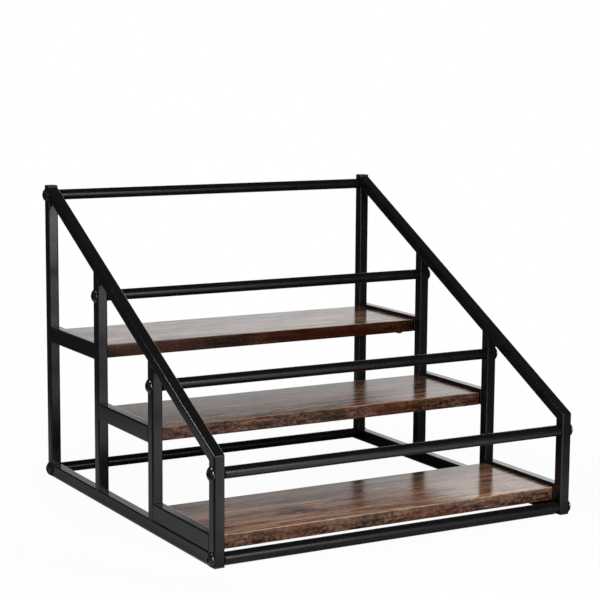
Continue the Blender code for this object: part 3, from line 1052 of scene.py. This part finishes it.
    def corner_pieces(self) -> list[bpy.types.Object]:
        """Front post and sloped rail, which share a mitred corner with a rounded outside.

        Returns:
            The post and the rail.
        """
        post_axis = np.array([self.x, self.front_y + self.tube / 2, 0])
        post = WeldedTube(post_axis, UP, self.tube)
        foot = onto_plane(post.ring_starts(), UP, *self.level(self.front_low[2]))
        post_rings = np.vstack([foot[None], self.half_corner(post.ring_starts(), UP, -BACK)])
        rail = WeldedTube(self.top_corner - self.tube / 2 * self.off_slope, self.uphill, self.tube)
        head = onto_plane(rail.ring_starts(), self.uphill, *self.square(self.rear_face))
        corner = self.half_corner(rail.ring_starts(), -self.uphill, self.off_slope)
        rail_rings = np.vstack([head[None], corner])
        self.joints.append(self.bead.shell(rail, *self.square(self.rear_face)))
        return [
            self.finish_piece(Shell.from_rings(post_rings), "front_post"),
            self.finish_piece(Shell.from_rings(rail_rings), "sloped_rail"),
        ]

    def half_corner(
        self, starts: np.ndarray, along: np.ndarray, outward: np.ndarray, steps: int = 6
    ) -> np.ndarray:
        """Rings of a tube's last stretch up to the mitre, its outer edge turned round an arc.

        A point at depth d under the outer face runs straight to the mitre plane where d is more
        than the arc's radius R. Nearer the outside it follows the arc of radius R - d about the
        same middle.

        Args:
            starts: The tube's outline somewhere along its axis.
            along: Direction towards the corner.
            outward: Direction from the axis to the outer face.
            steps: Steps up to the mitre plane.

        Returns:
            Rings from the start of the arc to the mitre plane.
        """
        half_turn = (math.pi / 2 - self.slope) / 2
        radius = self.corner_round
        depth = (self.top_corner - starts) @ outward
        sideways = (starts - self.top_corner) @ ACROSS
        base = self.top_corner + sideways[:, None] * ACROSS
        middle = base - radius * outward - radius * math.tan(half_turn) * along
        rings = []
        for share in np.linspace(0, 1, steps + 1):
            turn = share * half_turn
            swing = math.cos(turn) * outward + math.sin(turn) * along
            arc = middle + (radius - depth)[:, None] * swing
            reach = -depth * math.tan(half_turn) - (1 - share) * radius / 2
            straight = base - depth[:, None] * outward + reach[:, None] * along
            rings.append(np.where((depth < radius)[:, None], arc, straight))
        return np.stack(rings)

    def welds(self) -> bpy.types.Object:
        """All the frame's weld beads, as one piece of separate rings.

        Returns:
            The piece.
        """
        piece = Shell.joined(self.joints).piece(f"{self.side.word}_frame_welds", self.weld_coat)
        return hand_over(piece)


@dataclass
class RoundBar:
    """Round bar between the side frames, with eased ends."""

    node: str
    finish: bpy.types.Material
    ease: float = 0.0008
    plain_end: float = 0.01
    plain_rings: int = 12
    sides: int = 64

    def build(self) -> bpy.types.Object:
        """Turn the bar about x between the inner faces of the frames.

        Returns:
            The bar.
        """
        low, high = span(self.node)
        radius = (high[2] - low[2]) / 2
        middle = (low + high) / 2
        ends = quarter_round(high[0] - self.ease, radius - self.ease, self.ease, 90.0)
        other = ends[::-1] * np.array([-1, 1])
        places = np.linspace(low[0] + self.plain_end, high[0] - self.plain_end, self.plain_rings)
        stretch = np.column_stack([places, np.full(self.plain_rings, radius)])
        profile = np.vstack([other, stretch, ends])
        rings = turned(profile, self.sides) + middle * np.array([0, 1, 1])
        piece = Shell.from_rings(rings).piece(f"{self.node}_rod", self.finish)
        return hand_over(piece, self.node)


@dataclass
class DomeBolt:
    """Dome-head bolt with a six-sided socket, seen from outside the frame."""

    node: str
    side: Side
    finish: bpy.types.Material
    socket: float = 0.004
    socket_depth: float = 0.0018
    head: float = 0.0036
    rim: float = 0.0007
    rim_taper: float = 0.00005
    rim_ease: float = 0.0003
    shank: float = 0.003
    tip_chamfer: float = 0.0006
    socket_land: float = 0.0003
    socket_ease: float = 0.00012
    dome_rings: int = 12
    sides: int = 48

    def build(self) -> bpy.types.Object:
        """Turn the head about x and sink the socket into it.

        The dome is a circle's arc from the rim to the crown. The socket's rings have the radius
        h / cos(a), with a the angle to the nearest flat and h half the width across flats.

        Returns:
            The bolt.
        """
        low, high = span(self.node)
        outer, inner = (high[0], low[0]) if self.side is Side.RIGHT else (low[0], high[0])
        radius = (high[2] - low[2]) / 2
        head = self.head
        rise = head - self.rim
        dome_radius = (radius * radius + rise * rise) / (2 * rise)
        inset = self.socket / 2 / math.cos(math.pi / 6) + self.socket_land
        ends = math.asin(inset / dome_radius), math.asin(radius / dome_radius)
        slope = np.linspace(*ends, self.dome_rings)
        dome = np.stack([head - dome_radius * (1 - np.cos(slope)), dome_radius * np.sin(slope)], axis=-1)
        edge = [[self.rim_ease, radius - self.rim_taper], [-self.rim_ease, radius - self.rim_ease]]
        tip = head - abs(outer - inner)
        shaft = [
            [-self.rim_ease, self.shank],
            [tip + self.tip_chamfer, self.shank],
            [tip, self.shank - self.tip_chamfer],
        ]
        rings = turned(np.vstack([dome, edge, shaft]), self.sides)
        top = dome[0, 0]
        sunk = [
            self.socket_ring(top - self.socket_depth, 0.0),
            self.socket_ring(top - self.socket_ease, 0.0),
            self.socket_ring(top, self.socket_ease),
        ]
        shell = Shell.from_rings(np.vstack([np.stack(sunk), rings]), start=End.POINT)
        middle = (low + high) / 2
        seat_x = outer - self.side.value * head
        turn = Matrix.Rotation(0 if self.side is Side.RIGHT else math.pi, 4, "Z")
        shell = shell.placed(Matrix.Translation((seat_x, middle[1], middle[2])) @ turn)
        return hand_over(shell.piece(f"{self.node}_head", self.finish), self.node)

    def socket_ring(self, x: float, grow: float) -> np.ndarray:
        """Six-sided ring of the socket.

        Args:
            x: Its place on the axis.
            grow: Way outside the socket's flats.

        Returns:
            Points, n by 3.
        """
        angle = np.arange(self.sides) * 2 * np.pi / self.sides
        to_flat = (angle + math.pi / 6) % (math.pi / 3) - math.pi / 6
        radius = (self.socket / 2 + grow) / np.cos(to_flat)
        across, upward = radius * np.cos(angle), radius * np.sin(angle)
        return np.stack([np.full(self.sides, x), across, upward], axis=-1)


@dataclass
class WoodScrew:
    """Pan-head screw under a board, with a cross recess."""

    node: str
    finish: bpy.types.Material
    recess_arm: float = 0.0024
    recess_width: float = 0.0007
    recess_depth: float = 0.0010
    crown: float = 0.0022
    rim: float = 0.0008
    roundness: float = 2.6
    shank: float = 0.00175
    point: float = 0.0025
    tip: float = 0.0002
    first_ring_share: float = 0.03
    head_rings: int = 22
    sides: int = 48

    def build(self) -> bpy.types.Object:
        """Head as a height over rings and angles, less a cross; shank and point turned above it.

        At the share s of the head's radius the height is rim + (crown - rim) * sqrt(1 - s^roundness).

        Returns:
            The screw.
        """
        low, high = span(self.node)
        middle = (low + high) / 2
        radius = (high[0] - low[0]) / 2
        angle = np.arange(self.sides) * 2 * np.pi / self.sides
        share = np.linspace(self.first_ring_share, 1, self.head_rings)[:, None]
        x, y = share * radius * np.cos(angle), share * radius * np.sin(angle)
        height = np.sqrt(np.clip(1 - share**self.roundness, 0, 1)) * np.ones_like(x)
        dome = self.rim + (self.crown - self.rim) * height
        arm = np.minimum(np.abs(x), np.abs(y)) < self.recess_width / 2
        within = np.maximum(np.abs(x), np.abs(y)) < self.recess_arm
        dome = dome - self.recess_depth * (arm & within)
        seat = low[2] + self.crown
        head = np.stack([x, y, seat - dome], axis=-1)
        shank = np.array([
            (radius, seat), (self.shank, seat), (self.shank, high[2] - self.point), (self.tip, high[2])
        ])
        reach, z = shank[:, :1], np.repeat(shank[:, 1:], self.sides, axis=1)
        body = np.stack([reach * np.cos(angle), reach * np.sin(angle), z], axis=-1)
        rings = np.vstack([head, body]) + middle * np.array([1, 1, 0])
        piece = Shell.from_rings(rings, start=End.POINT).piece(f"{self.node}_body", self.finish)
        return hand_over(piece, self.node)


@dataclass
class Board:
    """Wooden board whose edges are eased by hand, a little more here and less there."""

    tier: str
    finish: bpy.types.Material
    corner: float = 0.0006
    ease: float = 0.0007
    swing: float = 0.0002
    long_wave: float = 0.011
    middle_wave: float = 0.0043
    short_wave: float = 0.0017
    wave_weights: tuple[float, float, float] = (1.0, 0.7, 0.4)
    land: float = 0.0010
    steps: int = 5
    spacing: float = 0.0015

    def build(self) -> bpy.types.Object:
        """Carry the board's outline up through its eased edges.

        An edge's ring at the angle a is drawn in by ease * (1 - sin a) and stands
        ease * (1 - cos a) away from the face. The ease swings along the edge by a weighted mean
        of sines of the way gone.

        Returns:
            The board.
        """
        low, high = span(f"{self.tier}_board")
        middle = (low + high) / 2
        corners = rounded_outline(high[0] - low[0], high[1] - low[1], self.corner)
        path = np.column_stack([corners, np.zeros(len(corners))])
        outline = evenly_spaced(path, self.spacing)[:, :2]
        half = (high - low)[:2] / 2
        gone = np.arange(len(outline)) * self.spacing
        waves = np.sin([gone / self.long_wave, gone / self.middle_wave + 1, gone / self.short_wave])
        ease = self.ease + self.swing * (self.wave_weights @ waves) / sum(self.wave_weights)
        rings = [(ease + self.land, np.full(len(outline), low[2]))]
        for angle in np.linspace(0, np.pi / 2, self.steps + 1):
            rings.append((ease * (1 - np.sin(angle)), low[2] + ease * (1 - np.cos(angle))))
        for angle in np.linspace(np.pi / 2, 0, self.steps + 1):
            rings.append((ease * (1 - np.sin(angle)), high[2] - ease * (1 - np.cos(angle))))
        rings.append((ease + self.land, np.full(len(outline), high[2])))
        levels = [(outline * (1 - inset[:, None] / half) + middle[:2], z) for inset, z in rings]
        piece = Shell.from_levels(levels).piece(f"{self.tier}_board_plank", self.finish)
        return hand_over(piece, f"{self.tier}_board")


@dataclass
class Plug:
    """Plastic cap on the end of a post, a rounded square carried up through its edge."""

    node: str
    finish: bpy.types.Material
    upright: bool = True
    edge: float = 0.0007
    thickness: float = 0.0027
    corner: float = 0.0012
    gap: float = 0.0003
    neck_inset: float = 0.0015
    neck_length: float = 0.001
    rim_ease: float = 0.0002
    steps: int = 6

    def build(self) -> bpy.types.Object:
        """Stack rounded squares from the tube's end to the plug's far face.

        Returns:
            The plug.
        """
        low, high = span(self.node)
        middle = (low + high) / 2
        width = high[0] - low[0]
        sense = 1 if self.upright else -1
        face = high[2] if self.upright else low[2]
        seat = face - sense * (self.thickness + self.gap)
        neck = width - 2 * self.neck_inset
        levels = [
            (neck, seat - sense * self.neck_length),
            (neck, seat),
            (width - 2 * self.rim_ease, seat),
            (width, seat + sense * self.rim_ease),
        ]
        for angle in np.linspace(0, np.pi / 2, self.steps + 1):
            size = width - 2 * self.edge * (1 - math.cos(angle))
            levels.append((size, face - sense * self.edge * (1 - math.sin(angle))))
        rings = [(rounded_outline(size, size, self.corner) + middle[:2], z) for size, z in levels]
        piece = Shell.from_levels(rings).piece(f"{self.node}_plug", self.finish)
        return hand_over(piece, self.node)


@dataclass
class Foot(Plug):
    """Thin plug under a post."""

    upright: bool = False
    edge: float = 0.0004
    thickness: float = 0.0012


@dataclass(frozen=True)
class Lamp:
    """Soft rectangular lamp that looks at a point of the rack."""

    name: str
    place: tuple[float, float, float]
    target: tuple[float, float, float]
    size: tuple[float, float]
    power: float
    in_gloss: bool = True
    in_diffuse: bool = True
    spread: float = 180.0

    def build(self) -> bpy.types.Object:
        """Hang the lamp.

        Returns:
            The lamp.
        """
        light = bpy.data.lights.new(self.name, "AREA")
        light.shape = "RECTANGLE"
        light.size, light.size_y = self.size
        light.energy = self.power
        light.spread = math.radians(self.spread)
        lamp = bpy.data.objects.new(self.name, light)
        lamp.location = self.place
        lamp.visible_glossy = self.in_gloss
        lamp.visible_diffuse = self.in_diffuse
        lamp.rotation_euler = (Vector(self.target) - lamp.location).to_track_quat("-Z", "Y").to_euler()
        bpy.context.scene.collection.objects.link(lamp)
        LOG.info("hung %s", self.name)
        return lamp


KEY_BOX = Lamp(
    "key_box", place=(0.12, -1.50, 0.37), target=(0.0, 0.0, 0.12), size=(1.00, 0.72), power=9.0
)
FILL_BOX = Lamp(
    "fill_box", place=(0.0, -0.8, 1.8), target=(0.0, 0.0, 0.1), size=(1.2, 1.2),
    power=24.0, in_gloss=False,
)
SIDE_STRIP = Lamp(
    "side_strip", place=(-1.30, -0.75, 0.50), target=(-0.18, 0.0, 0.12), size=(0.12, 0.80), power=5.0
)
ARRIS_LIGHT = Lamp(
    "arris_light", place=(-0.607, 0.090, 0.685), target=(-0.18, -0.13, 0.12), size=(0.15, 0.15),
    power=0.06, in_diffuse=False, spread=34.0,
)


@dataclass(frozen=True)
class PhotoCamera:
    """Camera at the photograph's place; angles in radians."""

    eye: tuple[float, float, float] = (-0.797664, -1.399408, 0.416680)
    heading: float = 0.518405
    dip: float = 0.143303
    tilt: float = 0.007196
    focal_pixels: float = 1750.93
    picture_pixels: float = 600.0
    sensor: float = 36.0
    reach: float = 100.0

    def build(self) -> None:
        """Turn the camera by its heading to the right of +Y, its dip below level and its tilt."""
        forward = Vector((
            math.sin(self.heading) * math.cos(self.dip),
            math.cos(self.heading) * math.cos(self.dip),
            -math.sin(self.dip),
        ))
        right = forward.cross(Vector(UP)).normalized()
        upward = right.cross(forward)
        right, upward = (
            math.cos(self.tilt) * right + math.sin(self.tilt) * upward,
            math.cos(self.tilt) * upward - math.sin(self.tilt) * right,
        )
        lens = bpy.data.cameras.new("photo_camera")
        lens.sensor_width = self.sensor
        lens.lens = self.focal_pixels / self.picture_pixels * self.sensor
        lens.clip_end = self.reach
        camera = bpy.data.objects.new("photo_camera", lens)
        columns = Matrix((right, upward, -forward)).transposed().to_4x4()
        camera.matrix_world = Matrix.Translation(self.eye) @ columns
        bpy.context.scene.collection.objects.link(camera)
        bpy.context.scene.camera = camera


@dataclass(frozen=True)
class Room:
    """Surroundings: plain white for the camera, a dim room with a bright low wall for the gloss.

    Each ramp runs over one part of the ray's direction: x to the right, y backwards, z up.
    """

    room_level: float = 0.035
    ambient: float = 0.35
    wall_behind: Ramp = Ramp(0.0, 0.45)
    foot: Ramp = Ramp(0.14, 0.195, 0.73, 0.28)
    above_foot: Ramp = Ramp(0.210, 0.235, 0.0, -0.06)
    higher: Ramp = Ramp(0.235, 0.280, 0.0, 0.10)
    top_fade: Ramp = Ramp(0.30, 0.42, 1.0, 0.0)
    to_right: Ramp = Ramp(0.234, 0.62, 0.05, 3.90)
    foot_share: Ramp = Ramp(0.165, 0.19, 1.0, 0.0)
    foot_tilt: Ramp = Ramp(0.36, 0.54, 0.36, -0.52)
    upper_share: Ramp = Ramp(0.205, 0.235)
    upper_right: Ramp = Ramp(0.495, 0.545, 0.0, 0.90)
    seam_lean: float = -0.68
    seam: Ramp = Ramp(0.431, 0.437, 1.0, 1.18)

    def build(self) -> None:
        """Wire the world: the camera's rays see white, gloss sees the wall, the rest a plain grey."""
        world = bpy.data.worlds.new("studio")
        bpy.context.scene.world = world
        world.use_nodes = True
        wiring = NodeTree(world.node_tree)
        seen = wiring.add("LightPath").outputs
        level = wiring.mix(seen["Is Glossy Ray"], (self.ambient,) * 3, self.wall(wiring))
        level = wiring.mix(seen["Is Camera Ray"], level, WHITE)
        ground = wiring.put(wiring.add("Background"), Color=level)
        wiring.put(wiring.add("OutputWorld"), Surface=ground.outputs[0])

    def wall(self, wiring: NodeTree) -> bpy.types.NodeSocket:
        """Level that gloss sees: the room's, plus the wall's height level times its sideways level.

        The height level is brightest at the wall's foot. The sideways level rises to the right,
        less so at the foot and more so above it, with a small step at a leaning seam.

        Args:
            wiring: The world's wiring help.

        Returns:
            The level.
        """
        x, y, z = wiring.parts(wiring.add("TexCoord").outputs["Generated"])
        runs = (self.foot, self.above_foot, self.higher)
        height = wiring.total(*(wiring.mapped(z, run) for run in runs))
        height = wiring.product(height, wiring.mapped(z, self.top_fade))
        foot = wiring.product(wiring.mapped(z, self.foot_share), wiring.mapped(x, self.foot_tilt))
        upper = wiring.product(wiring.mapped(z, self.upper_share), wiring.mapped(x, self.upper_right))
        seam = wiring.mapped(wiring.total(x, wiring.product(z, self.seam_lean)), self.seam)
        sideways = wiring.product(
            wiring.mapped(x, self.to_right), wiring.total(1.0, foot), wiring.total(upper, seam)
        )
        wall = wiring.product(wiring.mapped(y, self.wall_behind), height, sideways)
        return wiring.total(wall, self.room_level)


@dataclass(frozen=True)
class WhiteFloor:
    """Pale floor, plain white to the camera; in the gloss, a white cover of painted light on painted
    shade.

    Ramps run over x to the right and y backwards. The contact line's ranges are those of the
    bottom rails and of the front bottom bar.
    """

    size: float = 30.0
    # The floor's colour is painted light on painted shade: a white cover near the rack on a dark ground.
    dark_ground: tuple[float, float, float] = (0.06, 0.06, 0.06)
    white_sheet: tuple[float, float, float] = (0.88, 0.88, 0.88)
    left_rise: Ramp = Ramp(-0.62, -0.34, 0.0, 0.66)
    inside_rise: Ramp = Ramp(-0.17, -0.10)
    left_edge_lean: tuple[float, float] = (0.869, 0.495)
    left_edge: Ramp = Ramp(-0.29, -0.25)
    right_edge_lean: float = 0.3
    right_edge: Ramp = Ramp(0.05, 0.25, 1.0, 0.0)
    rear_edge: Ramp = Ramp(0.22, 0.60, 1.0, 0.0)
    front_edge: Ramp = Ramp(-0.21, -0.17)
    front_edge_end: Ramp = Ramp(-0.20, -0.15)
    # Painted shade on the floor under the rack, and painted dimming of the light behind the front.
    dark_under_x: Ramp = Ramp(-0.20, -0.10)
    dark_under_y: Ramp = Ramp(-0.24, -0.16)
    dimmer_behind: Ramp = Ramp(-0.25, -0.10, 1.0, 0.62)
    # A far patch of painted light behind the rack.
    far_sheet_x: Ramp = Ramp(-0.05, 0.10)
    far_sheet_y: Ramp = Ramp(0.35, 0.50)
    roughness: float = 0.9
    specular: float = 0.1
    white_share: Ramp = Ramp(0.2, 0.5, 0.97, 1.0)
    rail_width: tuple[float, float] = (0.1700, 0.1795)
    rail_reach: float = 0.1805
    bar_width: tuple[float, float] = (-0.1748, -0.1650)
    bar_reach: float = 0.1700
    softness: float = 0.0005

    def build(self) -> None:
        """Lay the floor under the rack."""
        half = self.size / 2
        corners = [(-half, -half, 0), (half, -half, 0), (half, half, 0), (-half, half, 0)]
        mesh = bpy.data.meshes.new("floor")
        mesh.from_pydata(corners, [], [(0, 1, 2, 3)])
        floor = bpy.data.objects.new("floor", mesh)
        bpy.context.scene.collection.objects.link(floor)
        mesh.materials.append(self.material())

    def material(self) -> bpy.types.Material:
        """Mix of the floor's surface, painted light and shade, with plain white light, which only the
        camera sees.

        The white light's share falls a little near the rack, so that its shadow stays, and is
        nothing on the contact line.

        Returns:
            The material.
        """
        material, wiring, shader = new_material("floor_white")
        place = wiring.add("TexCoord").outputs["Object"]
        x, y, _ = wiring.parts(place)
        # Painted light and shade in the floor's colour, seen in the gloss and in its bounce light.
        shade = wiring.mix(self.sheet(wiring, x, y), self.dark_ground, self.white_sheet)
        wiring.put(shader, Base_Color=shade, Roughness=self.roughness, Specular_IOR_Level=self.specular)
        away = wiring.add("VectorMath", operation="LENGTH")
        wiring.feed(away.inputs[0], place)
        share = wiring.product(
            wiring.mapped(away.outputs["Value"], self.white_share),
            wiring.add("LightPath").outputs["Is Camera Ray"],
            wiring.math("SUBTRACT", 1.0, self.contact(wiring, x, y)),
        )
        glow = wiring.put(wiring.add("Emission"), Color=(*WHITE, 1), Strength=1.0)
        mixed = wiring.add("MixShader")
        for socket, value in zip(mixed.inputs, (share, shader.outputs[0], glow.outputs[0])):
            wiring.feed(socket, value)
        output = next(node for node in material.node_tree.nodes if node.type == "OUTPUT_MATERIAL")
        wiring.put(output, Surface=mixed.outputs[0])
        return material

    def sheet(
        self, wiring: NodeTree, x: bpy.types.NodeSocket, y: bpy.types.NodeSocket
    ) -> bpy.types.NodeSocket:
        """Cover of the painted light: a product of soft edges, of painted shade under the rack and of
        painted dimming behind it, or the far painted light where that is more.

        Args:
            wiring: The floor material's wiring help.
            x: The point's x.
            y: The point's y.

        Returns:
            1 on the painted light, 0 on the painted shade.
        """
        rise = wiring.math(
            "MAXIMUM", wiring.mapped(x, self.left_rise), wiring.mapped(x, self.inside_rise)
        )
        lean_x, lean_y = self.left_edge_lean
        left_place = wiring.total(wiring.product(x, lean_x), wiring.product(y, lean_y))
        left = wiring.product(rise, wiring.mapped(left_place, self.left_edge))
        right = wiring.mapped(wiring.total(x, wiring.product(y, self.right_edge_lean)), self.right_edge)
        front = wiring.math(
            "MAXIMUM", wiring.mapped(y, self.front_edge), wiring.mapped(x, self.front_edge_end)
        )
        # Painted shade under the rack, and painted dimming behind its front.
        under = wiring.product(wiring.mapped(x, self.dark_under_x), wiring.mapped(y, self.dark_under_y))
        near = wiring.product(
            left, right, wiring.mapped(y, self.rear_edge), front,
            wiring.math("SUBTRACT", 1.0, under), wiring.mapped(y, self.dimmer_behind),
        )
        far = wiring.product(wiring.mapped(x, self.far_sheet_x), wiring.mapped(y, self.far_sheet_y))
        return wiring.math("MAXIMUM", near, far)

    def contact(
        self, wiring: NodeTree, x: bpy.types.NodeSocket, y: bpy.types.NodeSocket
    ) -> bpy.types.NodeSocket:
        """Where the floor drops its white light and shows its own shading below the rack: the real
        shadow, on a colour that is partly painted shade.

        It is the strip under the two bottom rails and the strip under the front bottom bar.

        Args:
            wiring: The floor material's wiring help.
            x: The point's x.
            y: The point's y.

        Returns:
            1 on the strips, 0 away from them.
        """
        across, along = wiring.math("ABSOLUTE", x), wiring.math("ABSOLUTE", y)
        rails = wiring.product(
            self.strip(wiring, across, *self.rail_width), self.fade(wiring, along, self.rail_reach)
        )
        bar = wiring.product(
            self.strip(wiring, y, *self.bar_width), self.fade(wiring, across, self.bar_reach)
        )
        return wiring.math("MAXIMUM", rails, bar)

    def fade(self, wiring: NodeTree, value: bpy.types.NodeSocket, end: float) -> bpy.types.NodeSocket:
        """1 up to the end and 0 past it, with a soft step between."""
        return wiring.mapped(value, Ramp(end - self.softness, end + self.softness, 1.0, 0.0))

    def strip(
        self, wiring: NodeTree, value: bpy.types.NodeSocket, start: float, end: float
    ) -> bpy.types.NodeSocket:
        """1 between start and end and 0 outside, with soft steps."""
        rise = wiring.mapped(value, Ramp(start - self.softness, start + self.softness))
        return wiring.product(rise, self.fade(wiring, value, end))


@dataclass
class Studio:
    """White floor and surroundings, soft lamps, and the camera at the photograph's place."""

    room: Room = field(default_factory=Room)
    floor: WhiteFloor = field(default_factory=WhiteFloor)
    lamps: tuple[Lamp, ...] = (KEY_BOX, FILL_BOX, SIDE_STRIP, ARRIS_LIGHT)
    camera: PhotoCamera = field(default_factory=PhotoCamera)

    def build(self) -> None:
        """Set up everything round the rack."""
        bpy.context.scene.view_settings.view_transform = "Standard"
        self.room.build()
        self.floor.build()
        for lamp in self.lamps:
            lamp.build()
        self.camera.build()


def main() -> None:
    """Dress the rack from the frames to the feet, then set it in the studio."""
    logging.basicConfig(level=logging.INFO, format="%(message)s")
    coats = (POWDER_COAT, WELD_COAT, SATIN_BAR_COAT, BOLT_BLACK, BLACK_PLASTIC)
    powder, weld, satin, bolt_black, plastic = [coat.build() for coat in coats]
    zinc = ZincPlate().build()
    for side in Side:
        SideFrame(side, powder, weld).build()
    for bar in BARS:
        RoundBar(f"{bar}_bar", satin).build()
        for side in Side:
            DomeBolt(f"{side.word}_{bar}_bar_bolt", side, bolt_black).build()
    for wood in BOARD_WOODS:
        Board(wood.tier, wood.build()).build()
        for side in Side:
            for place in ("front", "rear"):
                WoodScrew(f"{wood.tier}_board_{side.word}_{place}_screw", zinc).build()
    for side in Side:
        Plug(f"{side.word}_rear_post_cap", plastic).build()
        for place in ("rear", "front"):
            Foot(f"{side.word}_{place}_foot", plastic).build()
    Studio().build()


if __name__ == "__main__":
    main()
